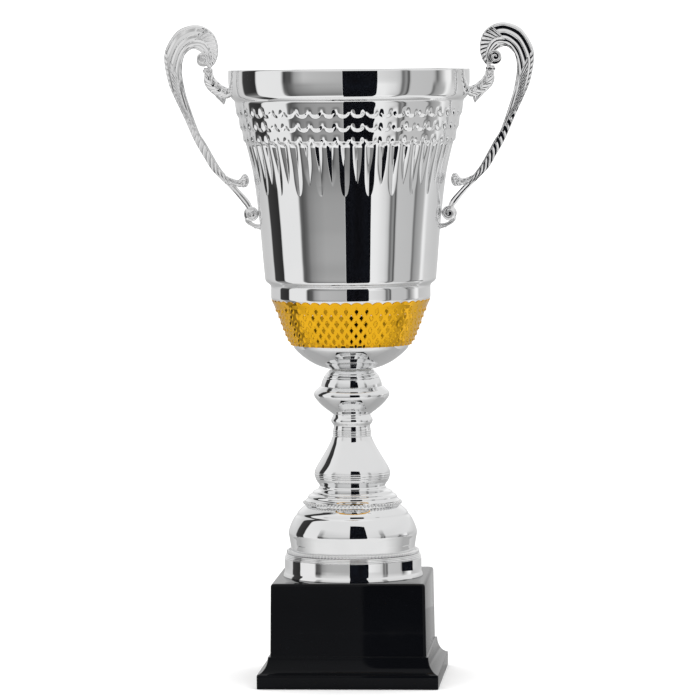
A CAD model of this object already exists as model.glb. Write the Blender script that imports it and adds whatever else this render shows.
"""Looks of the two-handled presentation cup: relief, beads, threads and materials round the CAD frame.

Lengths in the outlines are millimetres, as in the design; MM turns them into Blender's metres.
Azimuths are degrees round +Z, 0 at the front (-Y) and positive towards +X.
"""
import math

import bpy
import numpy as np
from mathutils import Matrix, Vector


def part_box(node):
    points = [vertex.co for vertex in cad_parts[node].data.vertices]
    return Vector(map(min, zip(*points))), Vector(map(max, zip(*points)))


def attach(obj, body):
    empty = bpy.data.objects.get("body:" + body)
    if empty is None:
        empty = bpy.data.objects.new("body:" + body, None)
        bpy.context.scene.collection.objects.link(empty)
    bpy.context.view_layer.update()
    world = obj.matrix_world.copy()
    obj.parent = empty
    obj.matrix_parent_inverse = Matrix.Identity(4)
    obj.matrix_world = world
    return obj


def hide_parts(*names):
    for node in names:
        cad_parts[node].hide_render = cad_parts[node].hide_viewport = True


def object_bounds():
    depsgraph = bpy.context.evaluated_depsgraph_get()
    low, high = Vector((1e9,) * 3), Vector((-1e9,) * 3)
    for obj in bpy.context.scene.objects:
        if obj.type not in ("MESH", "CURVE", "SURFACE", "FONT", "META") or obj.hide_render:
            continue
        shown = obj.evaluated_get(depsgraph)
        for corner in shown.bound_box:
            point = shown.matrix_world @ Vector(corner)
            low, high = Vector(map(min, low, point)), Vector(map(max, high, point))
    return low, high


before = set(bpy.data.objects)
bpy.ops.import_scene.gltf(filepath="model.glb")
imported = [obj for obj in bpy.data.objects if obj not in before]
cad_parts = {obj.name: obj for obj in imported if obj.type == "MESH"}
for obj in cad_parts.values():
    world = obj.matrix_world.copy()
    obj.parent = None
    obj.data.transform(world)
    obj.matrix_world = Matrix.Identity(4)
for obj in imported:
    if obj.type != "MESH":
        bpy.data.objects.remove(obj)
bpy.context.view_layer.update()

MM = 0.001
TAU = 2 * math.pi
BODY = "root"
# Radius of the tie rod's hole in every threaded piece
BORE = 3.4


# ---- curves

def spline(points, steps):
    """Smooth curve through control points, with that many steps between neighbours."""
    p = [np.array(q, float) for q in points]
    last = len(p) - 1
    out = []
    for i in range(last):
        a, b, c, d = p[max(i - 1, 0)], p[i], p[i + 1], p[min(i + 2, last)]
        for k in range(steps):
            t = k / steps
            out.append(0.5 * (2 * b + (c - a) * t + (2 * a - 5 * b + 4 * c - d) * t * t
                              + (3 * b - a - 3 * c + d) * t ** 3))
    out.append(p[last])
    return np.array(out)


def arc(cx, cz, rx, rz, start, end, steps):
    """Points on an ellipse from one angle to another, in degrees."""
    angles = np.radians(np.linspace(start, end, steps + 1))
    return np.column_stack((cx + rx * np.cos(angles), cz + rz * np.sin(angles)))


def join(*runs):
    """One line from runs of points and single points."""
    return np.vstack([np.atleast_2d(np.array(r, float)) for r in runs])


def resample(points, count):
    """The same line with evenly spaced points."""
    p = np.array(points, float)
    run = np.concatenate(([0], np.cumsum(np.linalg.norm(np.diff(p, axis=0), axis=1))))
    at = np.linspace(0, run[-1], count)
    return np.column_stack([np.interp(at, run, p[:, k]) for k in range(p.shape[1])])


def smooth_step(x, low, high):
    """0 up to low, 1 from high, and an S-shaped rise between them."""
    t = np.clip((x - low) / (high - low), 0, 1)
    return t * t * (3 - 2 * t)


def grooved(line, heights, depth=0.3, width=0.35):
    """The line with fine turned grooves cut at the given heights."""
    line = np.array(line, float)
    for z in heights:
        line[:, 0] -= depth * np.exp(-((line[:, 1] - z) / width) ** 2)
    return line


def shell_outline(outer, wall, ends):
    """Closed outline of a hollow turned shell, with a bored floor and roof as thick as ends."""
    p = np.array(outer, float)
    low, high = p[0, 1], p[-1, 1]
    clear = ends + 0.6
    inner = p[(p[:, 1] > low + clear) & (p[:, 1] < high - clear)][::-1] - [wall, 0]
    roof = [[BORE, high], [BORE, high - ends], [inner[0, 0], high - ends]]
    floor = [[inner[-1, 0], low + ends], [BORE, low + ends]]
    return join([[BORE, low]], p, roof, inner, floor)


# ---- meshes

def finish_object(name, verts, faces, material, sharp=32):
    """Mesh object with smooth faces, creased where they meet at more than sharp degrees."""
    mesh = bpy.data.meshes.new(name)
    mesh.from_pydata(verts, [], faces)
    mesh.validate()
    mesh.polygons.foreach_set("use_smooth", [True] * len(mesh.polygons))
    mesh.set_sharp_from_angle(angle=math.radians(sharp))
    mesh.materials.append(material)
    obj = bpy.data.objects.new(name, mesh)
    bpy.context.scene.collection.objects.link(obj)
    return obj


def grid_faces(rows, cols, closed, offset=0):
    """Quads between rings of points stored row by row; closed joins the last ring to the first."""
    rr, cc = np.meshgrid(np.arange(rows if closed else rows - 1), np.arange(cols), indexing="ij")
    r2, c2 = (rr + 1) % rows, (cc + 1) % cols
    quads = np.stack([rr * cols + cc, rr * cols + c2, r2 * cols + c2, r2 * cols + cc], -1)
    return (quads.reshape(-1, 4) + offset).tolist()


def polar_grid(radii, heights, azimuths):
    """Points on rings: radii and heights are rows x columns or rows only, in mm."""
    a = np.radians(azimuths)[None, :]
    radii = radii if radii.ndim == 2 else radii[:, None] + 0 * a
    heights = heights if heights.ndim == 2 else heights[:, None] + 0 * a
    xyz = np.stack([radii * np.sin(a), -radii * np.cos(a), heights], -1)
    return xyz.reshape(-1, 3) * MM


def lathe(name, outline, material, base_z, around=192, sharp=32):
    """Solid turned from a closed outline of (radius, height) points, outer side going up first.

    Heights are in mm above base_z, which is in metres.
    """
    p = np.array(outline, float)
    xyz = polar_grid(p[:, 0], p[:, 1] + base_z / MM, np.arange(around) * 360 / around)
    faces = grid_faces(len(p), around, True)
    return finish_object(name, xyz.tolist(), faces, material, sharp)


def solid_of_rings(name, rings, material, sharp):
    """Closed mesh lofted through rings of equal length, capped at both ends."""
    rings = np.array(rings, float)
    rows, cols = rings.shape[:2]
    faces = grid_faces(rows, cols, False)
    faces.append(list(range(cols))[::-1])
    faces.append([(rows - 1) * cols + i for i in range(cols)])
    return finish_object(name, rings.reshape(-1, 3).tolist(), faces, material, sharp)


CORNER_STEPS = 8


def square_ring(half, corner, z):
    """A rounded square at height z, in mm."""
    ring = []
    for k in range(4):
        turn = math.radians(90 * k)
        for j in range(CORNER_STEPS + 1):
            a = turn + math.radians(90 * j / CORNER_STEPS)
            mx = (half - corner) * (1 if k in (0, 3) else -1)
            my = (half - corner) * (1 if k in (0, 1) else -1)
            ring.append((mx + corner * math.cos(a), my + corner * math.sin(a), z))
    return ring


def merge(name, objects, sharp):
    """One object from several of the same material."""
    material = objects[0].data.materials[0]
    verts, faces = [], []
    for obj in objects:
        mesh = obj.data
        start = len(verts)
        verts += [tuple(obj.matrix_world @ v.co) for v in mesh.vertices]
        faces += [[start + i for i in p.vertices] for p in mesh.polygons]
        bpy.data.objects.remove(obj)
        bpy.data.meshes.remove(mesh)
    return finish_object(name, verts, faces, material, sharp)


# ---- materials

def new_material(name):
    mat = bpy.data.materials.new(name)
    mat.use_nodes = True
    nodes, links = mat.node_tree.nodes, mat.node_tree.links
    return mat, nodes, links, nodes["Principled BSDF"]


def add(nodes, kind, **values):
    """New node with its settings, or its sockets' values, given by name."""
    node = nodes.new(kind)
    for key, value in values.items():
        if hasattr(node, key):
            setattr(node, key, value)
        else:
            node.inputs[key.replace("_", " ")].default_value = value
    return node


NOISE_LOW, NOISE_HIGH = 0.3, 0.7


def noise_between(nodes, links, scale, low, high, detail=3.0):
    """Soft noise in object space, mapped to run from low to high."""
    coord = add(nodes, "ShaderNodeTexCoord")
    noise = add(nodes, "ShaderNodeTexNoise", Scale=scale, Detail=detail)
    spread = add(nodes, "ShaderNodeMapRange", From_Min=NOISE_LOW, From_Max=NOISE_HIGH,
                 To_Min=low, To_Max=high)
    links.new(coord.outputs["Object"], noise.inputs["Vector"])
    links.new(noise.outputs["Fac"], spread.inputs["Value"])
    return noise, spread.outputs["Result"]


def two_tone(nodes, links, level, first, second):
    """Colour that runs from the first tone to the second as level goes from 0 to 1."""
    mix = add(nodes, "ShaderNodeMix", data_type="RGBA")
    mix.inputs["A"].default_value = (*first, 1)
    mix.inputs["B"].default_value = (*second, 1)
    links.new(level, mix.inputs["Factor"])
    return mix.outputs["Result"]


def grain_bump(nodes, links, shader, noise, strength, distance):
    bump = add(nodes, "ShaderNodeBump", Strength=strength, Distance=distance)
    links.new(noise.outputs["Fac"], bump.inputs["Height"])
    links.new(bump.outputs["Normal"], shader.inputs["Normal"])


def plated(name, tint, darker, rough_low, rough_high):
    """Bright plated metal: slight tarnish in the tint and uneven polish."""
    mat, nodes, links, shader = new_material(name)
    shader.inputs["Metallic"].default_value = 1.0
    _, polish = noise_between(nodes, links, 60, rough_low, rough_high)
    links.new(polish, shader.inputs["Roughness"])
    _, cloud = noise_between(nodes, links, 14, 0.0, 1.0)
    links.new(two_tone(nodes, links, cloud, tint, darker), shader.inputs["Base Color"])
    return mat


def gloss_black():
    """Polished black moulding with fine haze and faint moulding ripple."""
    mat, nodes, links, shader = new_material("plinth_gloss")
    shader.inputs["IOR"].default_value = 1.20
    _, haze = noise_between(nodes, links, 90, 0.035, 0.075)
    links.new(haze, shader.inputs["Roughness"])
    _, cloud = noise_between(nodes, links, 9, 0.0, 1.0)
    tone = two_tone(nodes, links, cloud, (0.0018, 0.0020, 0.0026), (0.0028, 0.0031, 0.0040))
    links.new(tone, shader.inputs["Base Color"])
    wave, _ = noise_between(nodes, links, 22, 0, 1, 1.0)
    grain_bump(nodes, links, shader, wave, 0.02, 0.001)
    return mat


def speckled(name, dark, light, scale, rough, metallic, depth):
    """Fine two-tone grain with matching bump, for cast iron, zinc, board, felt and gasket."""
    mat, nodes, links, shader = new_material(name)
    shader.inputs["Metallic"].default_value = metallic
    shader.inputs["Roughness"].default_value = rough
    grain, level = noise_between(nodes, links, scale, 0.0, 1.0, 6.0)
    links.new(two_tone(nodes, links, level, dark, light), shader.inputs["Base Color"])
    grain_bump(nodes, links, shader, grain, depth, 0.0004)
    return mat


CHROME = plated("chrome_plate", (0.87, 0.87, 0.87), (0.83, 0.835, 0.84), 0.01, 0.03)
CAST_CHROME = plated("cast_chrome", (0.88, 0.88, 0.88), (0.83, 0.83, 0.835), 0.02, 0.04)
GOLD = plated("gold_plate", (0.93, 0.50, 0.02), (0.88, 0.46, 0.015), 0.03, 0.07)
BLACK = gloss_black()
ZINC = speckled("zinc_plate", (0.45, 0.46, 0.48), (0.68, 0.69, 0.70), 900, 0.34, 1.0, 0.15)
IRON = speckled("cast_iron", (0.05, 0.05, 0.055), (0.16, 0.16, 0.17), 700, 0.65, 0.8, 0.6)
BOARD = speckled("hardboard", (0.13, 0.07, 0.035), (0.27, 0.17, 0.10), 1200, 0.8, 0.0, 0.5)
FELT = speckled("felt", (0.006, 0.022, 0.014), (0.025, 0.07, 0.045), 2600, 0.95, 0.0, 1.0)
GASKET = speckled("gasket", (0.55, 0.55, 0.53), (0.72, 0.72, 0.70), 500, 0.5, 0.0, 0.1)


# ---- cup

# Columns of scales, each over one flute, and the azimuth of the first
COLUMNS = 50
COLUMN_STEP = 360 / COLUMNS
COLUMN_PHASE = 1.38
POINTS_PER_COLUMN = 20
# Top and bottom of each row of scales, and the radius at the foot of the lowest
SCALE_ROWS = [(220.2, 208.5), (208.5, 197.3), (197.3, 186.1)]
SCALE_FOOT = 86.0
# How far each row steps out at its lip, and how fast its face leans out above it
SCALE_DROP = 1.4
ROW_LEAN = 0.129
# The lip rises over this height, and curves up by LIP_CURVE at LIP_REACH to each side
LIP_HEIGHT = 3.4
LIP_CURVE = 2.0
LIP_REACH = 4.8
LIP_SOFTEN = 0.25
# The lip falls back between neighbours, over this distance sideways and this height
SIDE_FALL = 1.15
SIDE_ZONE = (1.6, 5.4)
SIDE_FADE = (1.8, 10.0)
# Heights of the flutes: their heads, then long before short for the tips and the full width
FLUTE_HEAD = (190.4, 184.4)
FLUTE_TIPS = (145.6, 153.4)
FLUTE_FULL = (158.0, 171.0)
# Share of the pitch that a flute takes, and how sharp its sides are
FLUTE_WIDTH = 0.87
FLUTE_CREASE = 1.6
# (height, depth) down the flutes
FLUTE_DEPTHS = [[144, 0.05], [146, 0.18], [150, 0.38], [155, 0.55], [160.3, 0.72], [169.6, 1.0],
                [180, 1.5], [186, 1.7]]
LEAST_DEPTH = 0.5
# (radius, height) up the wall, smoothed three times over WALL_BLUR steps of WALL_STEP
WALL_KNOTS = [[71.1, 76], [71.5, 81], [72.35, 89.8], [73.4, 103.3], [74.4, 115], [75.75, 128],
              [77.05, 140], [77.8, 146.4], [78.2, 149.7], [79.1, 156], [80.2, 163], [80.8, 166.3],
              [81.5, 169.7], [82.3, 173], [83.1, 176.3], [83.9, 179.6], [84.7, 182.9], [85.5, 186.1],
              [86.3, 189.4], [87.0, 192.4]]
WALL_STEP = 0.3
WALL_BLUR = 17
# Heights between which the relief is meshed, and its rows
RELIEF_LOW, RELIEF_HIGH, RELIEF_ROWS = 140.6, 220.2, 270


def wall_line(heights):
    """Smoothed outer radius of the wall at the given heights, as (radius, height) points."""
    knots = np.array(WALL_KNOTS)
    fine = np.arange(knots[0, 1], knots[-1, 1], WALL_STEP)
    wall = np.interp(fine, knots[:, 1], knots[:, 0])
    blur = np.ones(WALL_BLUR) / WALL_BLUR
    for _ in range(3):
        padded = np.pad(wall, WALL_BLUR // 2, mode="reflect", reflect_type="odd")
        wall = np.convolve(padded, blur, "valid")
    return np.column_stack((np.interp(heights, fine, wall), heights))


def lower_cup_line():
    """Outer line of the cup's sheet from its bottom to the foot of the relief, heights above its bottom."""
    bottom = spline([[20.4, 0.4], [27.6, 2.8], [35.4, 6.9], [41.8, 11.8], [45.6, 15.4], [47.4, 17.6]], 5)
    return [
        grooved(bottom, (8.3,), 0.3, 0.5),
        spline([[48.2, 20.2], [56.2, 37], [62.6, 52]], 4),
        spline([[63.6, 54], [64.7, 56.2], [65.6, 58], [66.1, 59.2], [66.2, 60]], 4),
        [[66.2, 60.6], [66.2, 64], [66.2, 67.4]],
        spline([[66.2, 68.4], [66.5, 69.6], [67.4, 70.7], [69.3, 72.2], [70.4, 73.4], [70.95, 74.8],
                [71.15, 76.4]], 5),
        wall_line(np.linspace(78, 139.6, 60)),
    ]


def scale_rows(z, sideways):
    """Rows of scales like roof tiles: faces near upright, each row ending in a smile-shaped lip."""
    out = np.zeros((z + sideways).shape)
    at = np.abs(sideways)
    to_side = smooth_step(at, *SIDE_ZONE)
    level = SCALE_FOOT
    for top, bottom in SCALE_ROWS[::-1]:
        v = z - bottom
        lip = np.clip((v - LIP_CURVE * (at / LIP_REACH) ** 2) / LIP_HEIGHT, 0, 1)
        lip = lip + LIP_SOFTEN * (lip * lip * (3 - 2 * lip) - lip)
        fall = SIDE_FALL * to_side * (1 - smooth_step(v, *SIDE_FADE))
        row = level + ROW_LEAN * v + lip * (SCALE_DROP - fall)
        out = np.where((v > 0) & (z <= top), row, out)
        level += ROW_LEAN * (top - bottom) + SCALE_DROP
    return np.where(z <= SCALE_ROWS[-1][1], SCALE_FOOT, out)


def flutes(wall, z, sideways, half_pitch, short):
    """Creased grooves under the scales, long ones with round tips and short pointed ones by turns."""
    long_run, short_run = [np.clip((full - z) / (full - tip), 0, 1)
                           for full, tip in zip(FLUTE_FULL, FLUTE_TIPS)]
    width = np.where(short, (1 - short_run ** 1.9) ** 0.9, (1 - long_run ** 1.6) ** 0.5)
    depths = np.array(FLUTE_DEPTHS)
    depth = np.interp(z, depths[:, 0], depths[:, 1])
    pointed = depth * (0.35 + 0.65 * width)
    round_tipped = np.maximum(depth, LEAST_DEPTH * (width > 0))
    depth = np.where(short, pointed, round_tipped) * width ** 0.35
    reach = np.maximum(half_pitch * FLUTE_WIDTH * width, 1e-3)
    groove = np.clip(1 - np.abs(sideways) / reach, 0, 1)
    return wall - depth * groove ** FLUTE_CREASE


def relief_radii(heights, azimuths):
    """Radius of the scaled and fluted zone, rows by columns, in mm."""
    wall = wall_line(heights)[:, :1]
    column = (azimuths - COLUMN_PHASE) / COLUMN_STEP
    index = np.round(column)
    half_pitch = wall * math.radians(COLUMN_STEP) / 2
    sideways = (column - index)[None, :] * 2 * half_pitch
    z = heights[:, None]
    short = (index.astype(int) % 2 == 1)[None, :]
    scaled = scale_rows(z, sideways)
    fluted = flutes(wall, z, sideways, half_pitch, short)
    blend = 1 - smooth_step(z, FLUTE_HEAD[1], FLUTE_HEAD[0])
    return scaled * (1 - blend) + fluted * blend


def rim_line():
    """Outer line from the relief's top to the lip, and over it."""
    return join(spline([[94.7, 221.2], [95.2, 222.6], [96.8, 224.1], [98.2, 226.2], [98.9, 228.6],
                        [99.5, 232.6], [99.9, 237], [100, 241]], 5),
                [[100, 243.6], [99.95, 245.6]], arc(99.3, 246.6, 0.65, 1.3, 0, 90, 5),
                arc(99.2, 246.9, 0.5, 1.0, 90, 180, 3))


def inside_line():
    """Inner line from the lip down to the bore in the cup's bottom."""
    return join(
        [[98.8, 245.6], [98.9, 241]],
        spline([[98.7, 236], [98.2, 231], [97.2, 227.6], [95.8, 225.4], [94.2, 223.4], [93.4, 221]], 3),
        [[93.0, 218.6], [90.2, 211], [88.0, 203.5], [85.4, 194]],
        spline([[84.2, 188], [81.4, 181], [79, 171], [77.3, 161], [76.6, 150], [75.9, 140]], 3),
        [[73.4, 115], [71.6, 94]],
        spline([[70.6, 80], [70.0, 76.6], [69.0, 74.6], [67, 72.6], [65.6, 71], [65.2, 69]], 4),
        [[65.2, 64], [65.2, 60.6]],
        spline([[64.6, 58], [62.4, 54], [55.2, 37.3], [47.2, 20.4], [44.4, 16.4], [40.3, 12.6],
                [33.4, 7.9], [24.8, 3.6], [20, 1.8]], 3),
        [[17, 1.0], [BORE, 1.0], [BORE, 0]])


def cup_shell():
    """The whole sheet in one mesh: plain dome and wall, relief, rim and inside."""
    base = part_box("cup_bowl")[0].z / MM
    around = COLUMNS * POINTS_PER_COLUMN
    azimuths = np.arange(around) * 360 / around
    heights = np.linspace(RELIEF_LOW, RELIEF_HIGH, RELIEF_ROWS)
    zone = relief_radii(heights, azimuths)
    plain, rim, inner = join([[19, 0]], *lower_cup_line()), rim_line(), inside_line()
    ring = np.ones(around)
    radii = np.vstack([plain[:, :1] * ring, zone, rim[:, :1] * ring, inner[:, :1] * ring])
    levels = np.concatenate([plain[:, 1], heights, rim[:, 1], inner[:, 1]]) + base
    xyz = polar_grid(radii, levels, azimuths)
    return finish_object("cup_shell", xyz.tolist(), grid_faces(len(radii), around, True), CHROME, 38)


# ---- gold band

# Lozenges in a row, the azimuth of the first, and the heights of the rows
LOZENGES = 46
LOZENGE_STEP = 360 / LOZENGES
LOZENGE_PHASE = 0.67
LOZENGE_ROWS = [50.5, 45.1, 39.7, 34.7, 30.0, 25.5, 21.4]
POINTS_PER_LOZENGE = 28
# Half width and half height of a lozenge where the pitch is LOZENGE_PITCH, and its shape
LOZENGE_HALF = (1.9, 3.1)
LOZENGE_PITCH = 8.77
LOZENGE_POWER = 1.35
# Lean of each face from upright, in mm per mm, and how far in from its outline it is full
LOZENGE_SLOPE = 0.03
FACE_EDGE = 0.18
# Raised outline of each lozenge: height, and middle and width in the same measure
OUTLINE_RISE, OUTLINE_AT, OUTLINE_WIDTH = 0.15, 0.02, 0.10
BAND_LOW = 20.0
BAND_ROWS = 240
BAND_KNOTS = [[47.8, 18.6], [49.3, 20.3], [50.7, 21.9], [52.6, 25.2], [54.1, 28.6], [55.4, 31.9],
              [56.8, 35.2], [58.0, 38.5], [59.1, 41.8], [60.3, 45.2], [61.6, 48.5], [63.1, 51.8],
              [64.8, 55], [66.3, 58.4]]
# The scallops are arcs round points at this height, flattened, on a circle of TOP_RADIUS
SCALLOP_CENTRE, SCALLOP_RADIUS, SCALLOP_FLATTEN = 52.8, 5.5, 0.9
TOP_RADIUS = 65


def band_radius(z):
    knots = np.array(BAND_KNOTS)
    return np.interp(z, knots[:, 1], knots[:, 0])


def lozenge_rise(z, azimuths):
    """Upright lozenge faces in staggered rows, each proud of the tapering band at its foot."""
    rise = np.zeros((z + 0 * azimuths[None, :]).shape)
    for k, centre in enumerate(LOZENGE_ROWS):
        column = (azimuths - LOZENGE_PHASE) / LOZENGE_STEP + 0.5 * (k % 2)
        pitch = math.radians(LOZENGE_STEP) * float(band_radius(centre))
        scale = pitch / LOZENGE_PITCH
        sideways = (column - np.round(column))[None, :] * pitch
        across = np.abs(sideways) / (LOZENGE_HALF[0] * scale)
        along = np.abs(z - centre) / (LOZENGE_HALF[1] * scale)
        inside = 1 - (across ** LOZENGE_POWER + along ** LOZENGE_POWER) ** (1 / LOZENGE_POWER)
        face = smooth_step(inside, 0.0, FACE_EDGE)
        upright = band_radius(centre) + LOZENGE_SLOPE * (z - centre) - band_radius(z)
        outline = np.exp(-((inside - OUTLINE_AT) / OUTLINE_WIDTH) ** 2)
        rise = rise + face * (upright + OUTLINE_RISE) + OUTLINE_RISE * outline
    return rise


def gold_band():
    """Pressed sleeve with lozenges and a scalloped top edge, and a plain back against the cup."""
    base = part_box("cup_bowl")[0].z / MM
    around = LOZENGES * POINTS_PER_LOZENGE
    azimuths = np.arange(around) * 360 / around
    column = (azimuths - LOZENGE_PHASE) / LOZENGE_STEP
    sideways = (column - np.round(column)) * math.radians(LOZENGE_STEP) * TOP_RADIUS
    top = SCALLOP_CENTRE + np.sqrt(SCALLOP_RADIUS ** 2 - sideways ** 2) * SCALLOP_FLATTEN
    part = np.linspace(0, 1, BAND_ROWS)[:, None]
    z = BAND_LOW + part * (top[None, :] - BAND_LOW)
    outer = band_radius(z) + lozenge_rise(z, azimuths)
    back = np.linspace(1, 0, 12)[:, None] * (top[None, :] - BAND_LOW - 0.8) + BAND_LOW + 0.6
    ring = np.ones((1, around))
    radii = np.vstack([outer, band_radius(top)[None, :] - 0.35, band_radius(back) - 0.6,
                       (band_radius(BAND_LOW) - 0.7) * ring])
    heights = np.vstack([z, top[None, :] + 0.05, back, BAND_LOW * ring])
    xyz = polar_grid(radii, heights + base, azimuths)
    return finish_object("stud_band", xyz.tolist(), grid_faces(len(radii), around, True), GOLD, 50)


# ---- stem and foot

BEAD_ROWS, BEAD_COLS = 9, 12


def bead_row(radius, height, bead, count):
    """A ring of small round beads, half sunk in the wall."""
    tilt = np.radians(np.linspace(-90, 90, BEAD_ROWS))[:, None]
    turn = (np.arange(BEAD_COLS) * TAU / BEAD_COLS)[None, :]
    ball = np.stack([np.cos(tilt) * np.cos(turn), np.cos(tilt) * np.sin(turn),
                     np.sin(tilt) + 0 * turn], -1)
    ball = ball.reshape(-1, 3) * bead + [0, -radius, height]
    verts, faces = [], []
    for k in range(count):
        c, s = math.cos(TAU * k / count), math.sin(TAU * k / count)
        faces += grid_faces(BEAD_ROWS, BEAD_COLS, False, len(verts))
        verts += (ball @ np.array([[c, s, 0], [-s, c, 0], [0, 0, 1]]) * MM).tolist()
    return finish_object("beads", verts, faces, CHROME, 60)


def turned(node, outer, wall, ends, sharp=32):
    """Hollow turned shell in the node's place, its outer line given from the node's underside."""
    outline = shell_outline(outer, wall, ends)
    return lathe(node + "_shell", outline, CHROME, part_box(node)[0].z, sharp=sharp)


def beaded(name, shell, node, radius, height, bead, count):
    """A turned shell with its row of beads; height is above the node's underside, in mm."""
    beads = bead_row(radius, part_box(node)[0].z / MM + height, bead, count)
    return merge(name, [shell, beads], 40)


def knop():
    bowl = spline([[17.0, 0.8], [20.05, 3], [24.15, 6.3], [27.45, 9.6], [30.1, 12.9], [31.1, 14.7]], 6)
    flange = spline([[31.45, 15.9], [31.2, 17.4], [29.9, 19.5], [28.1, 21.1], [26.3, 22.6]], 5)
    bulge = spline([[25.3, 23.6], [25.0, 25.6], [24.2, 28], [22.9, 31], [20.6, 34.1], [18.9, 36]], 12)
    outer = join([[16.2, 0]], bowl, flange, [[25.3, 23.0]], grooved(bulge, (29.9, 33.2)),
                 [[18.4, 36.5]])
    return turned("knop", outer, 1.6, 1.2)


def stem_collar():
    rings = join(*[arc(15.45, 1.2 + 1.7 * i, 0.55, 0.8, -80, 80, 6) for i in range(3)])
    outer = join([[15.4, 0]], rings, spline([[15.5, 6.4], [15.15, 8.4], [15.5, 9.8], [16.3, 10.8]], 4),
                 spline([[17.0, 12.0], [17.35, 13.4], [17.0, 14.8], [16.2, 16.4]], 4),
                 spline([[15.6, 17.6], [15.3, 18.6]], 2), [[15.6, 19]])
    return turned("stem_collar", outer, 1.6, 1.4)


def baluster():
    belly = spline([[27.1, 0.9], [28.0, 2.7], [29.5, 4.7], [30.85, 7.5], [31.7, 10.6], [31.2, 13.6],
                    [29.4, 17.5], [25.45, 24.1], [21.45, 30.8], [17.95, 37.4], [16.4, 41.4]], 12)
    outer = join([[27.6, 0]], grooved(belly, (8.0, 9.9, 11.9)), [[16.2, 42]])
    return turned("baluster", outer, 1.6, 1.2, 50)


def foot_collar():
    low_ring = spline([[39.2, 4.4], [38.0, 5.4], [37.2, 6.3], [37.0, 7.4], [36.3, 8.4]], 5)
    high_ring = spline([[35.4, 9.0], [34.0, 9.7], [33.2, 10.6], [32.9, 11.3], [31.6, 12.2]], 5)
    outer = join([[39.3, 0], [39.3, 0.8], [39.6, 1.4], [39.6, 4.0]], low_ring, high_ring,
                 spline([[30.2, 12.7], [28.9, 13.4], [28.1, 14.2]], 4), [[28.0, 15.2]])
    return turned("foot_collar", outer, 1.6, 1.2, 40)


def foot_dome():
    bell = spline([[52.1, 0.5], [52.5, 3.0], [53.0, 6.0], [53.4, 8.0], [53.5, 9.6], [53.0, 12.2],
                   [51.4, 16.6], [48.9, 21.5], [45.6, 26.5], [43.0, 29.2], [40.4, 31.2]], 10)
    outer = join([[52.05, 0]], grooved(bell, (24.4,), 0.6, 1.2), [[39.6, 32]])
    return turned("foot_dome", outer, 1.6, 1.2)


def foot_skirt():
    ridges = join(*[arc(56.2 - 0.5 * i, 16.0 + 1.25 * i, 0.65, 0.55, -80, 80, 6) for i in range(3)])
    outer = join([[58.1, 0]], spline([[58.2, 0.6], [57.8, 2.0], [57.3, 3.2], [57.0, 3.9]], 4),
                 [[57.0, 9], [57.0, 15.0]], ridges, [[53.4, 19.2], [52.6, 20.0]],
                 spline([[51.35, 21.6], [51.45, 23.0], [51.75, 25.0], [52.0, 26.7]], 4), [[52.05, 27]])
    return turned("foot_skirt", outer, 1.4, 1.2)


# ---- plinth

# Half widths of the bottom flange, the collar under the block, and the block at its foot and top
FLANGE, COLLAR = 74.5, 66.0
BLOCK_LOW, BLOCK_HIGH = 64.25, 63.5
PLINTH_H = 85.5
PLINTH_ROOF = 3
TOP_ROUND = 2.5
# Corner radii below and above the block's foot
FLANGE_CORNER, BLOCK_CORNER = 0.9, 3.0
# Half widths of the hollow and of the shallow recess that takes the base plate, and its height
CAVITY, RECESS, RECESS_H = 60.5, 69.7, 3.5


def plinth():
    """Square moulding lofted from its half-width profile, open underneath."""
    profile = join([[FLANGE - 0.8, 0]], arc(FLANGE - 0.8, 0.8, 0.8, 0.8, -60, 0, 3),
                   [[FLANGE, 4], [FLANGE, 8]], arc(FLANGE - 0.7, 10.9, 0.7, 0.7, 0, 70, 3),
                   arc(COLLAR + 10, 25.0, 10, 13.6, 260, 182, 12),
                   arc(COLLAR - 0.6, 24.9, 0.6, 0.6, 10, 90, 3),
                   spline([[BLOCK_LOW + 0.7, 25.5], [BLOCK_LOW + 0.15, 25.8], [BLOCK_LOW, 26.4]], 3),
                   [[BLOCK_LOW - 0.25, 45], [BLOCK_LOW - 0.5, 65]],
                   arc(BLOCK_HIGH - TOP_ROUND, PLINTH_H - TOP_ROUND, TOP_ROUND, TOP_ROUND, 0, 90, 8))
    corners = np.where(profile[:, 1] < 25.4, FLANGE_CORNER, BLOCK_CORNER)
    rings = [square_ring(half, corner, z) for (half, z), corner in zip(profile, corners)]
    top = BLOCK_HIGH - TOP_ROUND
    rings += [square_ring(top * part, BLOCK_CORNER, PLINTH_H) for part in (0.7, 0.4)]
    ring_size = len(rings[0])
    angles = [math.atan2(p[1], p[0]) for p in rings[0]]
    rings += [[(BORE * math.cos(a), BORE * math.sin(a), z) for a in angles]
              for z in (PLINTH_H, PLINTH_H - PLINTH_ROOF)]
    hollow = ((CAVITY, PLINTH_H - PLINTH_ROOF), (CAVITY, RECESS_H), (RECESS, RECESS_H), (RECESS, 0))
    rings += [square_ring(half, BLOCK_CORNER, z) for half, z in hollow]
    rings = np.array(rings, float) * MM
    faces = grid_faces(len(rings), ring_size, True)
    return finish_object("plinth_moulding", rings.reshape(-1, 3).tolist(), faces, BLACK, 40)


# ---- handles

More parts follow.
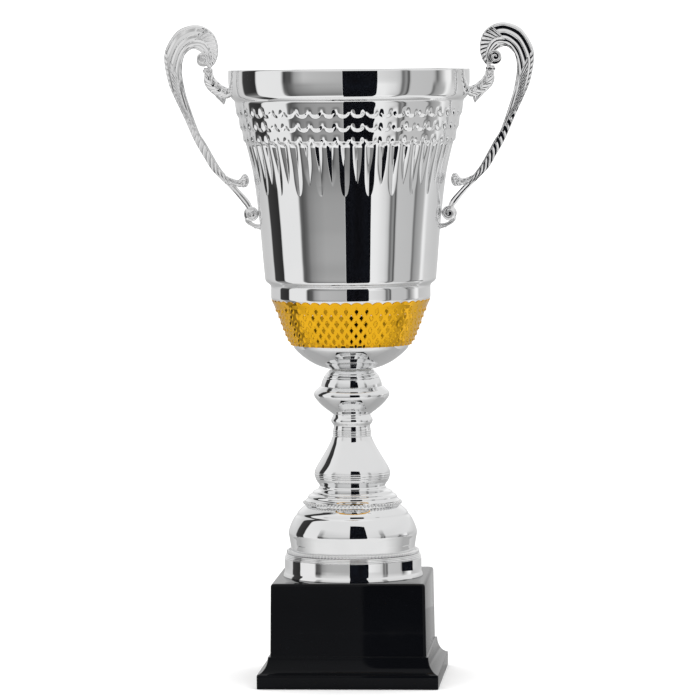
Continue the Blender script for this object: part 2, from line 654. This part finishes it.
# Edge lines of the arch in the X-Z plane, from the spiral head over the top to the foot of the arm
ARCH_OUTER = [[115.6, 507.4], [111, 512.4], [108.6, 520], [109, 529], [112, 536], [118.5, 541.5],
              [126.6, 543.9], [135, 542.5], [142.5, 538.5], [149, 530], [152.8, 521], [153, 511],
              [149.8, 495], [144.9, 483], [137.4, 467], [129, 448], [121, 434], [115.4, 424.5],
              [109, 417.6], [97.4, 406], [88, 394.6], [84.2, 389.4]]
ARCH_INNER = [[120.6, 511.4], [118.6, 514], [118.8, 517.4], [120.8, 520], [123.4, 521.8], [126.4, 523.3],
              [129.6, 524], [133.2, 522.4], [136, 519.6], [138.4, 516], [139.3, 512.4], [139, 503.4],
              [136, 488], [132.2, 475.3], [125, 455], [119.2, 445.4], [109.4, 428], [104.4, 421],
              [99, 414.8], [90.6, 405.6], [83.6, 397.6], [81, 391.2]]
ARCH_LEAN = 0.10
# Share of the arch's length over which one kind of relief passes into the next
HEAD_END, SHOULDER_END, ARM_END, FOREARM_END = (0.165, 0.18), (0.345, 0.36), (0.545, 0.56), (0.86, 0.875)
# Centres of the head's eye and of the lower scroll
HEAD_EYE, SCROLL_EYE = (121.2, 515.4), (82.3, 386.9)
SPIRAL_STEPS = 70
CORD_SIDES = 10


def strip(name, edge_a, edge_b, thickness, relief, along, over, edge_round, lean=0.0):
    """Flat bar between two edge lines in the X-Z plane, with relief(s, t) on both faces.

    s runs from 0 to 1 along the bar and t from 0 at edge_a to 1 at edge_b, in along by over points.
    The edges are rounded over edge_round of the width. The faces stand out further away from the
    cup by lean, in mm per mm.
    """
    a, b = resample(edge_a, along), resample(edge_b, along)
    s = np.linspace(0, 1, along)[:, None]
    t = (1 - np.cos(np.linspace(0, math.pi, over)))[None, :] / 2
    mid = a[:, None, :] * (1 - t[..., None]) + b[:, None, :] * t[..., None]
    edge = np.minimum(t, 1 - t) / edge_round
    roll = np.sqrt(np.clip(1 - (1 - np.clip(edge, 0, 1)) ** 2, 0, 1))
    half = thickness(s) if callable(thickness) else thickness + 0 * s
    height = half * (0.45 + 0.55 * roll) + relief(s, t) * roll
    tangent = np.gradient(a + b, axis=0)
    tangent /= np.linalg.norm(tangent, axis=1)[:, None]
    across = np.column_stack((-tangent[:, 1], tangent[:, 0]))
    outward = across[:, 0] * ((a - b) * across).sum(1)
    height = height + lean * outward[:, None] * (0.5 - t)
    ends = np.sqrt(np.clip(np.minimum(s, 1 - s) * along / 6, 0, 1))
    height = height * (0.25 + 0.75 * ends)
    front = np.stack([mid[..., 0], -height, mid[..., 1]], -1)
    back = np.stack([mid[..., 0], height, mid[..., 1]], -1)[:, ::-1]
    rings = np.concatenate([front, back], 1) * MM
    return solid_of_rings(name, rings, CAST_CHROME, 60)


def cord_along(name, path, radius, stretch=1.0):
    """Round cord along a path of (x, z, y) points in mm, stretched front to back."""
    p = np.array(path, float)
    tangent = np.gradient(p[:, [0, 2, 1]], axis=0)
    tangent /= np.linalg.norm(tangent, axis=1)[:, None]
    side = np.cross(tangent, [0, 1, 0])
    side /= np.linalg.norm(side, axis=1)[:, None]
    up = np.cross(side, tangent)
    radii = np.broadcast_to(radius, len(p))
    rings = []
    for point, n, u, r in zip(p, side, up, radii):
        centre = np.array([point[0], point[2], point[1]])
        rings.append([centre + r * (math.cos(a) * n + stretch * math.sin(a) * u)
                      for a in np.arange(CORD_SIDES) * TAU / CORD_SIDES])
    return solid_of_rings(name, np.array(rings) * MM, CAST_CHROME, 70)


def saw(turn, rise=0.45, drop=0.12):
    """One slope, sharp fall and flat to each turn."""
    part = turn - np.floor(turn)
    return np.clip(np.minimum(part / rise, 1 - (part - rise) / drop), 0, 1)


def between(t, start, end):
    """1 from the start range to the end range, each a (low, high) pair, and 0 outside them."""
    return smooth_step(t, *start) * (1 - smooth_step(t, *end))


def arch_relief(s, t):
    """Petals round the head, ridges over the shoulder, and a barbed channel between cords down the arm."""
    petals = 1.1 * (1 - smooth_step(t, 0.40, 0.43)) * saw(s * 58 - t * 1.6)
    rings = 0.7 * smooth_step(t, 0.42, 0.44) * saw((t - 0.43) * 6.0, drop=0.1)
    head = (1 - smooth_step(s, *HEAD_END)) * (petals + rings)
    shoulder = between(s, HEAD_END, SHOULDER_END) * 0.65 * saw(t * 5 + 0.1, drop=0.1)
    notches = 0.9 * (1 - smooth_step(t, 0.13, 0.16)) * saw(s * 50 + t * 2.0)
    outer_cord = 0.5 * np.clip(np.minimum((t - 0.17) / 0.08, (0.27 - t) / 0.02), 0, 1)
    barbs = 0.6 * between(t, (0.29, 0.31), (0.62, 0.64)) * saw(s * 58 - t * 0.4, 0.42, 0.08)
    inner_cords = 0.5 * smooth_step(t, 0.65, 0.67) * saw((t - 0.66) * 5.6, drop=0.1)
    arm = between(s, SHOULDER_END, ARM_END) * (notches + outer_cord + barbs + inner_cords)
    twist = 0.5 * (1 - smooth_step(t, 0.74, 0.78)) * saw(s * 34 + t * 4.6, 0.42, 0.08)
    edge_cord = 0.5 * between(t, (0.80, 0.83), (0.90, 0.93))
    forearm = between(s, ARM_END, FOREARM_END) * (twist + edge_cord)
    tail = smooth_step(s, *FOREARM_END) * 0.6 * saw(t * 2)
    return head + shoulder + arm + forearm + tail - 0.3


def arch_half(s):
    """Half thickness: full over the arch, thinner down the arm."""
    return 3.6 - 1.0 * smooth_step(s, 0.35, 0.75)


def leaf_relief(s, t):
    """Sunk midrib with slanting veins to both sides."""
    from_rib = t - 0.45
    return -0.8 * np.exp(-(from_rib / 0.08) ** 2) + 0.5 * np.sin(TAU * (s * 5 + np.abs(from_rib) * 2.2))


def midrib(depth, width):
    """Relief with one groove down the middle."""
    return lambda s, t: -depth * np.exp(-((t - 0.5) / width) ** 2)


def spiral(centre, r_out, r_in, start, turns, y, sign):
    a = np.radians(start) + sign * np.linspace(0, turns * TAU, SPIRAL_STEPS)
    r = np.linspace(r_out, r_in, SPIRAL_STEPS)
    return np.column_stack((centre[0] + r * np.cos(a), centre[1] + r * np.sin(a), np.full(SPIRAL_STEPS, y)))


def handle(name, sign):
    """One casting: arch, leaf bracket, curl, scroll and tail; sign is -1 for the left one."""
    parts = [strip("arch", spline(ARCH_OUTER, 12), spline(ARCH_INNER, 12), arch_half, arch_relief,
                   1000, 150, 0.05, ARCH_LEAN)]
    # leaf bracket, from the spiral's collar to the cup, with its spike
    upper = spline([[114.4, 508.8], [113, 503.6], [111, 499], [105, 493.6], [99.8, 491.4],
                    [96.6, 489.4]], 8)
    lower = spline([[120.8, 508.2], [120, 503.6], [120.4, 497], [117.4, 490.6], [110, 484.6],
                    [101.4, 482.6], [98.0, 484.6]], 8)
    parts.append(strip("bracket", upper, lower, 3.6, leaf_relief, 140, 28, 0.2))
    spike_a = spline([[105, 490], [102.6, 486], [102.4, 482], [103.8, 477.6]], 6)
    spike_b = spline([[114, 488.6], [110.6, 484], [107, 480.4], [104.4, 477.6]], 6)
    parts.append(strip("spike", spike_a, spike_b, 2.8, midrib(0.6, 0.12), 60, 20, 0.25))
    collar = [[113.4, 506.0, 0.0], [121.2, 505.4, 0.0]]
    parts.append(cord_along("collar", resample(collar, 8), 1.4, 2.9))
    # leaf curl
    curl_a = spline([[105.8, 421], [100.7, 417.8], [95.6, 415.8], [92.4, 415.6], [90.4, 417.6],
                     [88.8, 419.6], [86.4, 420.2], [84.8, 418.4]], 6)
    curl_b = spline([[103.6, 417], [99, 412.4], [95, 410.2], [91, 409.2], [87.2, 409],
                     [84.8, 410.9], [83.8, 414.4], [84.4, 417.6]], 6)
    parts.append(strip("curl", curl_a, curl_b, 3.2, leaf_relief, 90, 24, 0.22))
    # spiral eye of the head and the lower scroll, on both faces, and the discs they lie on
    for y in (-1, 1):
        eye = spiral(HEAD_EYE, 5.2, 0.6, 150, 1.4, 3.3 * y, -1)
        parts.append(cord_along("eye", eye, np.linspace(1.15, 0.8, SPIRAL_STEPS)))
        scroll = spiral(SCROLL_EYE, 5.3, 0.7, 70, 1.5, 2.5 * y, 1)
        parts.append(cord_along("scroll", scroll, np.linspace(1.2, 0.8, SPIRAL_STEPS)))
    for (cx, cz), r, half in (((121.0, 514.6), 5.4, 3.0), (SCROLL_EYE, 6.2, 2.5)):
        rings = [[(cx + q * math.cos(a), y, cz + q * math.sin(a)) for a in np.arange(40) * TAU / 40]
                 for q, y in ((r * 0.92, -half), (r, -half * 0.7), (r, half * 0.7), (r * 0.92, half))]
        parts.append(solid_of_rings("disc", np.array(rings)[:, ::-1] * MM, CAST_CHROME, 40))
    tail_a = spline([[84.6, 383], [82.2, 380.4], [79, 378.9], [76.2, 378.4], [73.9, 378.5]], 6)
    tail_b = spline([[88.0, 383.4], [87.1, 380.5], [84.5, 377.9], [78.5, 375], [73.6, 373.4]], 6)
    parts.append(strip("tail", tail_a, tail_b, 2.7, midrib(0.8, 0.1), 60, 20, 0.2))
    whole = merge(name, parts, 60)
    if sign < 0:
        mesh = whole.data
        for v in mesh.vertices:
            v.co.x = -v.co.x
        mesh.flip_normals()
    return whole


# ---- fixings

# M6 thread: pitch, radii at crest and root, and points round it
ROD_PITCH, ROD_CREST, ROD_ROOT, ROD_AROUND = 1.0, 3.0, 2.45, 24
ROWS_PER_TURN = 4
# Hexagon nut: half its width across flats, and points round it
NUT_HALF, NUT_AROUND = 5.0, 48
# Handle screws: thread pitch and radii, head radius, length and seat radius of the upper and lower pair
SCREW_PITCH, SCREW_CREST, SCREW_ROOT, HEAD_R = 1.0, 1.5, 1.25, 2.9
UPPER_SCREW, LOWER_SCREW = (9, 97.2), (7, 73.2)
SCREW_AROUND = 40


def threaded_rod():
    low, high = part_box("tie_rod")
    rows = int((high.z - low.z) / MM / ROD_PITCH) * ROWS_PER_TURN
    z = np.linspace(low.z / MM, high.z / MM, rows + 1)
    a = np.arange(ROD_AROUND) * 360 / ROD_AROUND
    phase = (z[:, None] / ROD_PITCH - a[None, :] / 360) % 1
    r = ROD_ROOT + (ROD_CREST - ROD_ROOT) * (1 - np.abs(2 * phase - 1))
    r = r * np.minimum(1, 0.75 + np.minimum(z - z[0], z[-1] - z) / 2)[:, None]
    xyz = polar_grid(r, z, a).reshape(rows + 1, ROD_AROUND, 3)
    return solid_of_rings("threaded_rod", xyz, ZINC, 30)


def hex_nut(name, node):
    """Hexagon nut with chamfered corners and bore."""
    low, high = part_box(node)
    z0, z1 = low.z / MM, high.z / MM
    a = np.arange(NUT_AROUND) * 360 / NUT_AROUND
    hexagon = NUT_HALF / np.cos(np.radians((a + 30) % 60 - 30))
    rows = [(3.05, z0), (4.9, z0), (hexagon, z0 + 0.5), (hexagon, z1 - 0.6), (4.9, z1), (3.5, z1),
            (3.05, z1 - 0.4)]
    radii = np.array([r * np.ones(NUT_AROUND) for r, _ in rows])
    heights = np.array([z for _, z in rows])
    xyz = polar_grid(radii, heights, a + 90)
    return finish_object(name, xyz.tolist(), grid_faces(len(rows), NUT_AROUND, True), ZINC, 25)


def washer(name, node):
    low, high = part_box(node)
    r = (high.x - low.x) / 2 / MM
    t = (high.z - low.z) / MM
    outline = join([[BORE, 0], [r - 0.3, 0], [r, 0.3], [r, t - 0.3], [r - 0.3, t], [BORE, t]])
    return lathe(name, outline, ZINC, low.z, 64)


def pan_screw(at, direction, length):
    """Pan-head screw with a cross recess; at is under the head, in mm."""
    rows = [(0.01, -1.0), (0.35, -1.0), (0.5, -1.75), (1.6, -1.85), (2.5, -1.4), (HEAD_R, -0.7),
            (HEAD_R, 0.0), (SCREW_CREST, 0.0)]
    half_turns = int(2 * length / SCREW_PITCH)
    rows += [(SCREW_CREST if k % 2 else SCREW_ROOT, length * (k + 1) / (half_turns + 2))
             for k in range(half_turns)]
    rows += [(0.8, length), (0.01, length)]
    a = np.radians(np.arange(SCREW_AROUND) * 360 / SCREW_AROUND)
    cross = np.where(np.abs(np.sin(2 * a)) < 0.35, 1.0, 0.0)
    # how far the recess reaches out in the rows of its floor and its mouth
    reach = {1: 1.0, 2: 0.95}
    rings = []
    for k, (r, d) in enumerate(rows):
        rr = r + reach.get(k, 0) * cross
        rings.append(np.column_stack([at[0] + direction * d + 0 * a, at[1] + rr * np.cos(a) * -direction,
                                      at[2] + rr * np.sin(a)]))
    return solid_of_rings("screw", np.array(rings) * MM, ZINC, 30)


def handle_screws():
    low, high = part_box("handle_screws")
    screws = []
    for direction in (-1, 1):
        for (length, seat), z in ((UPPER_SCREW, high.z / MM - HEAD_R),
                                  (LOWER_SCREW, low.z / MM + HEAD_R)):
            screws.append(pan_screw((direction * seat, 0, z), direction, length))
    return merge("handle_screw_set", screws, 30)


# ---- studio

# Direction that the tent and the cards are laid out from, near the camera's, in degrees round +Z
CAMERA_SIDE = 4.4
# What soft light and the eye see of the tent
PLAIN_WHITE = (1.40, 1.40, 1.40)
# For each elevation, (azimuth from CAMERA_SIDE, brightness) where the tent changes
LEFT_CARD = [(-124, 0.70), (-122, 0.05), (-101, 0.03), (-99.5, 0.90)]
RIGHT_CARDS = [(50, 0.60), (52.5, 0.12), (56, 0.35), (59, 0.05), (61, 0.60), (86.5, 0.57)]
TENT_DOWN = [(-180, 0.68), (180, 0.68)]
TENT_FLOOR = [(-180, 0.95), *LEFT_CARD, (-70, 1.0), (50, 1.0), (52.5, 0.3), (58, 0.3), (61, 0.9),
              (180, 0.95)]
TENT_DEEP = [(-180, 0.42), (-150, 0.50), (-124, 0.70), (-122, 0.30), (-101, 0.30), (-99.5, 0.90),
             (-68, 0.90), (-66, 0.30), (-62, 0.09), (-57, 0.12), (-50, 0.20), (-32, 0.25), (-7, 0.26),
             (-5, 0.9), (35, 0.95), *RIGHT_CARDS, (89, 0.15), (93, 0.35), (104, 0.5), (109, 1.0),
             (116, 0.75), (152, 0.50), (180, 0.42)]
TENT_WALL = [(-180, 0.50), (-150, 0.55), *LEFT_CARD, (-68, 0.90), (-66.4, 0.34), (-64.7, 0.12),
             (-61.8, 0.10), (-57.4, 0.155), (-53, 0.28), (-44, 0.37), (-32, 0.43), (-7, 0.44), (-5, 0.9),
             (24.4, 1.0), (35, 0.93), (45, 0.80), *RIGHT_CARDS, (89, 0.15), (93, 0.35), (104, 0.5),
             (109, 1.0), (116, 0.75), (152, 0.58), (180, 0.50)]
TENT_LEVEL = [(-180, 0.72), *LEFT_CARD, (-68, 0.90), (-66.4, 0.34), (-64.7, 0.05), (-61.8, 0.085),
              (-57.4, 0.095), (-53, 0.40), (-44, 0.59), (-32, 0.55), (-7, 0.50), (-5, 0.8), (24.4, 0.80),
              (45, 0.68), *RIGHT_CARDS, (89, 0.5), (93, 0.15), (99, 0.5), (106, 0.97), (113, 1.0),
              (116, 0.56), (152, 0.68), (180, 0.72)]
TENT_HIGH = [(-180, 1.10), (-150, 0.85), *LEFT_CARD, (-68, 0.88), (-66, 0.5), (-60, 0.35), (-54, 0.70),
             (-7, 0.76), (24, 0.82), (50, 0.78), (53, 0.35), (59, 0.35), (62, 0.78), (150, 0.85),
             (180, 1.10)]
TENT_ROOF = [(-180, 0.85), *LEFT_CARD, (-60, 0.84), (60, 0.84), (180, 0.85)]
TENT_ZENITH = [(-180, 0.92), (180, 0.92)]
# Each layer with the elevations, in degrees, between which it takes over from the one below it
TENT_LAYERS = [(TENT_FLOOR, -62, -46), (TENT_DEEP, -36, -31), (TENT_WALL, -22, -11),
               (TENT_LEVEL, -9, -1), (TENT_HIGH, 2, 12), (TENT_ROOF, 22, 34), (TENT_ZENITH, 64, 76)]
FLOOR_HALF = 30.0
TABLE_R, TABLE_POINTS = 0.48, 96
# Distances along Y between which the table top falls off to its back tone
TABLE_FADE = (-0.15, 0.10)


def tent_ring(nodes, links, turn, stops):
    """Brightness round the tent at one elevation."""
    ring = add(nodes, "ShaderNodeValToRGB")
    links.new(turn, ring.inputs["Fac"])
    ramp = ring.color_ramp
    while len(ramp.elements) < len(stops):
        ramp.elements.new(0.5)
    for element, (degrees, level) in zip(ramp.elements, stops):
        element.position = (degrees + 180) / 360
        element.color = (level, level, level, 1)
    return ring.outputs["Color"]


def studio_world():
    """White tent with grey and dark cards, which only reflections see."""
    world = bpy.data.worlds.new("studio")
    bpy.context.scene.world = world
    world.use_nodes = True
    nodes, links = world.node_tree.nodes, world.node_tree.links
    nodes.clear()
    coord = add(nodes, "ShaderNodeTexCoord")
    spin = add(nodes, "ShaderNodeVectorRotate", rotation_type="Z_AXIS")
    spin.inputs["Angle"].default_value = -math.radians(CAMERA_SIDE)
    links.new(coord.outputs["Generated"], spin.inputs["Vector"])
    split = add(nodes, "ShaderNodeSeparateXYZ")
    links.new(spin.outputs["Vector"], split.inputs[0])
    front = add(nodes, "ShaderNodeMath", operation="MULTIPLY")
    front.inputs[1].default_value = -1
    links.new(split.outputs["Y"], front.inputs[0])
    azimuth = add(nodes, "ShaderNodeMath", operation="ARCTAN2")
    links.new(split.outputs["X"], azimuth.inputs[0])
    links.new(front.outputs[0], azimuth.inputs[1])
    turn = add(nodes, "ShaderNodeMapRange", From_Min=-math.pi, From_Max=math.pi)
    links.new(azimuth.outputs[0], turn.inputs["Value"])
    tent = tent_ring(nodes, links, turn.outputs[0], TENT_DOWN)
    for stops, start, end in TENT_LAYERS:
        mix = add(nodes, "ShaderNodeMix", data_type="RGBA")
        rise = add(nodes, "ShaderNodeMapRange", From_Min=math.sin(math.radians(start)),
                   From_Max=math.sin(math.radians(end)))
        links.new(split.outputs["Z"], rise.inputs["Value"])
        links.new(rise.outputs[0], mix.inputs["Factor"])
        links.new(tent, mix.inputs["A"])
        links.new(tent_ring(nodes, links, turn.outputs[0], stops), mix.inputs["B"])
        tent = mix.outputs["Result"]
    path = add(nodes, "ShaderNodeLightPath")
    seen = add(nodes, "ShaderNodeMix", data_type="RGBA")
    seen.inputs["A"].default_value = (*PLAIN_WHITE, 1)
    links.new(path.outputs["Is Glossy Ray"], seen.inputs["Factor"])
    links.new(tent, seen.inputs["B"])
    glow = add(nodes, "ShaderNodeBackground")
    out = add(nodes, "ShaderNodeOutputWorld")
    links.new(seen.outputs["Result"], glow.inputs["Color"])
    links.new(glow.outputs[0], out.inputs["Surface"])


def seen_in_reflections_only(obj):
    obj.visible_camera = False
    obj.visible_diffuse = False
    obj.visible_shadow = False
    obj.visible_transmission = False


def matt_paint(name, roughness, specular, scale, dark, light):
    """Faintly mottled matt surface, with its colour's output for further mixing."""
    mat, nodes, links, shader = new_material(name)
    shader.inputs["Roughness"].default_value = roughness
    shader.inputs["Specular IOR Level"].default_value = specular
    _, level = noise_between(nodes, links, scale, 0.0, 1.0)
    colour = two_tone(nodes, links, level, dark, light)
    links.new(colour, shader.inputs["Base Color"])
    return mat, colour


def dark_card(name, azimuth, distance, left, right, high):
    """Dark card standing on the table, square to its azimuth from CAMERA_SIDE, in reflections only."""
    side = math.radians(CAMERA_SIDE + azimuth)
    mat, _ = matt_paint(name + "_paint", 1.0, 0.0, 8, (0.004, 0.004, 0.005), (0.006, 0.007, 0.010))
    centre = Vector((math.sin(side), -math.cos(side), 0)) * distance
    across = Vector((math.cos(side), math.sin(side), 0))
    verts = [centre + across * x + Vector((0, 0, z))
             for x, z in ((left, 0), (right, 0), (right, high), (left, high))]
    card = finish_object(name, verts, [[0, 1, 2, 3]], mat)
    seen_in_reflections_only(card)


def pale_surface(name, dark, light, back=None):
    """Faintly mottled pale surface, falling off behind the trophy to the back tone if there is one."""
    mat, colour = matt_paint(name, 0.9, 0.1, 3, [dark] * 3, [light] * 3)
    if back is not None:
        nodes, links = mat.node_tree.nodes, mat.node_tree.links
        coord = add(nodes, "ShaderNodeTexCoord")
        split = add(nodes, "ShaderNodeSeparateXYZ")
        links.new(coord.outputs["Object"], split.inputs[0])
        depth = add(nodes, "ShaderNodeMapRange", From_Min=TABLE_FADE[0], From_Max=TABLE_FADE[1])
        links.new(split.outputs["Y"], depth.inputs["Value"])
        fade = add(nodes, "ShaderNodeMix", data_type="RGBA")
        fade.inputs["B"].default_value = (back, back, back, 1)
        links.new(depth.outputs[0], fade.inputs["Factor"])
        links.new(colour, fade.inputs["A"])
        links.new(fade.outputs["Result"], nodes["Principled BSDF"].inputs["Base Color"])
    return mat


def studio_floor():
    """Pale floor, and the table top that the trophy reflects."""
    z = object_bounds()[0].z - 0.0002
    verts = [(x * FLOOR_HALF, y * FLOOR_HALF, z) for x, y in ((-1, -1), (1, -1), (1, 1), (-1, 1))]
    floor = finish_object("floor", verts, [[0, 1, 2, 3]], pale_surface("floor_pale", 0.93, 0.95))
    floor.visible_glossy = False
    turns = np.arange(TABLE_POINTS) * TAU / TABLE_POINTS
    verts = [(TABLE_R * math.sin(a), -TABLE_R * math.cos(a), z + 0.0001) for a in turns]
    table = finish_object("table", verts, [list(range(TABLE_POINTS))],
                          pale_surface("table_pale", 0.60, 0.64, 0.32))
    seen_in_reflections_only(table)


def camera():
    """Long lens level with the rim, a little to the right of the front."""
    azimuth, height, distance = math.radians(4.357), 0.521, 3.662
    data = bpy.data.cameras.new("camera")
    data.sensor_width = 36
    data.lens = 227.3
    cam = bpy.data.objects.new("camera", data)
    bpy.context.scene.collection.objects.link(cam)
    cam.location = (math.sin(azimuth) * distance, -math.cos(azimuth) * distance, height)
    pitch, roll, yaw = math.radians(3.868), math.radians(0.50), math.radians(0.017)
    ahead = Vector((-math.sin(azimuth + yaw) * math.cos(pitch), math.cos(azimuth + yaw) * math.cos(pitch),
                    -math.sin(pitch)))
    level = ahead.to_track_quat("-Z", "Y").to_matrix().to_4x4()
    cam.rotation_euler = (level @ Matrix.Rotation(-roll, 4, "Z")).to_euler()
    bpy.context.scene.camera = cam


def key_light():
    """Large soft lamp above the camera's right, which no reflection shows."""
    data = bpy.data.lights.new("key", "AREA")
    data.size = 1.6
    data.energy = 12
    lamp = bpy.data.objects.new("key", data)
    bpy.context.scene.collection.objects.link(lamp)
    spot, aim = Vector((1.2, -2.2, 2.4)), Vector((0, 0, 0.25))
    lamp.location = spot
    lamp.rotation_euler = (aim - spot).to_track_quat("-Z", "Y").to_euler()
    lamp.visible_camera = False
    lamp.visible_glossy = False


# ---- assembly

def place(obj, node):
    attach(obj, BODY)
    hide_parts(node)


def build():
    """Every detailed piece in its node's place; the pieces left plain get their materials."""
    place(cup_shell(), "cup_bowl")
    place(gold_band(), "gold_band")
    place(handle("handle_right_cast", 1), "handle_right")
    place(handle("handle_left_cast", -1), "handle_left")
    place(knop(), "knop")
    place(stem_collar(), "stem_collar")
    place(baluster(), "baluster")
    collar = beaded("foot_collar_beaded", foot_collar(), "foot_collar", 40.0, 2.3, 1.3, 76)
    place(collar, "foot_collar")
    place(foot_dome(), "foot_dome")
    skirt = beaded("foot_skirt_beaded", foot_skirt(), "foot_skirt", 53.9, 20.6, 1.5, 114)
    place(skirt, "foot_skirt")
    place(plinth(), "plinth_shell")
    place(threaded_rod(), "tie_rod")
    place(hex_nut("cup_nut_hex", "cup_nut"), "cup_nut")
    place(washer("cup_washer_disc", "cup_washer"), "cup_washer")
    place(handle_screws(), "handle_screws")
    for node, material in (("bowl_gasket", GASKET), ("ballast_plate", IRON), ("base_plate", BOARD),
                           ("base_washer", ZINC), ("base_nut", ZINC), ("base_screws", ZINC),
                           ("felt_pad", FELT)):
        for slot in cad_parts[node].material_slots:
            slot.material = material


build()
studio_world()
studio_floor()
dark_card("front_card", azimuth=0, distance=0.49, left=-0.048, right=0.222, high=0.620)
dark_card("low_card", azimuth=102, distance=0.8, left=-0.21, right=0.21, high=0.07)
camera()
key_light()
bpy.context.scene.view_settings.view_transform = "Standard"
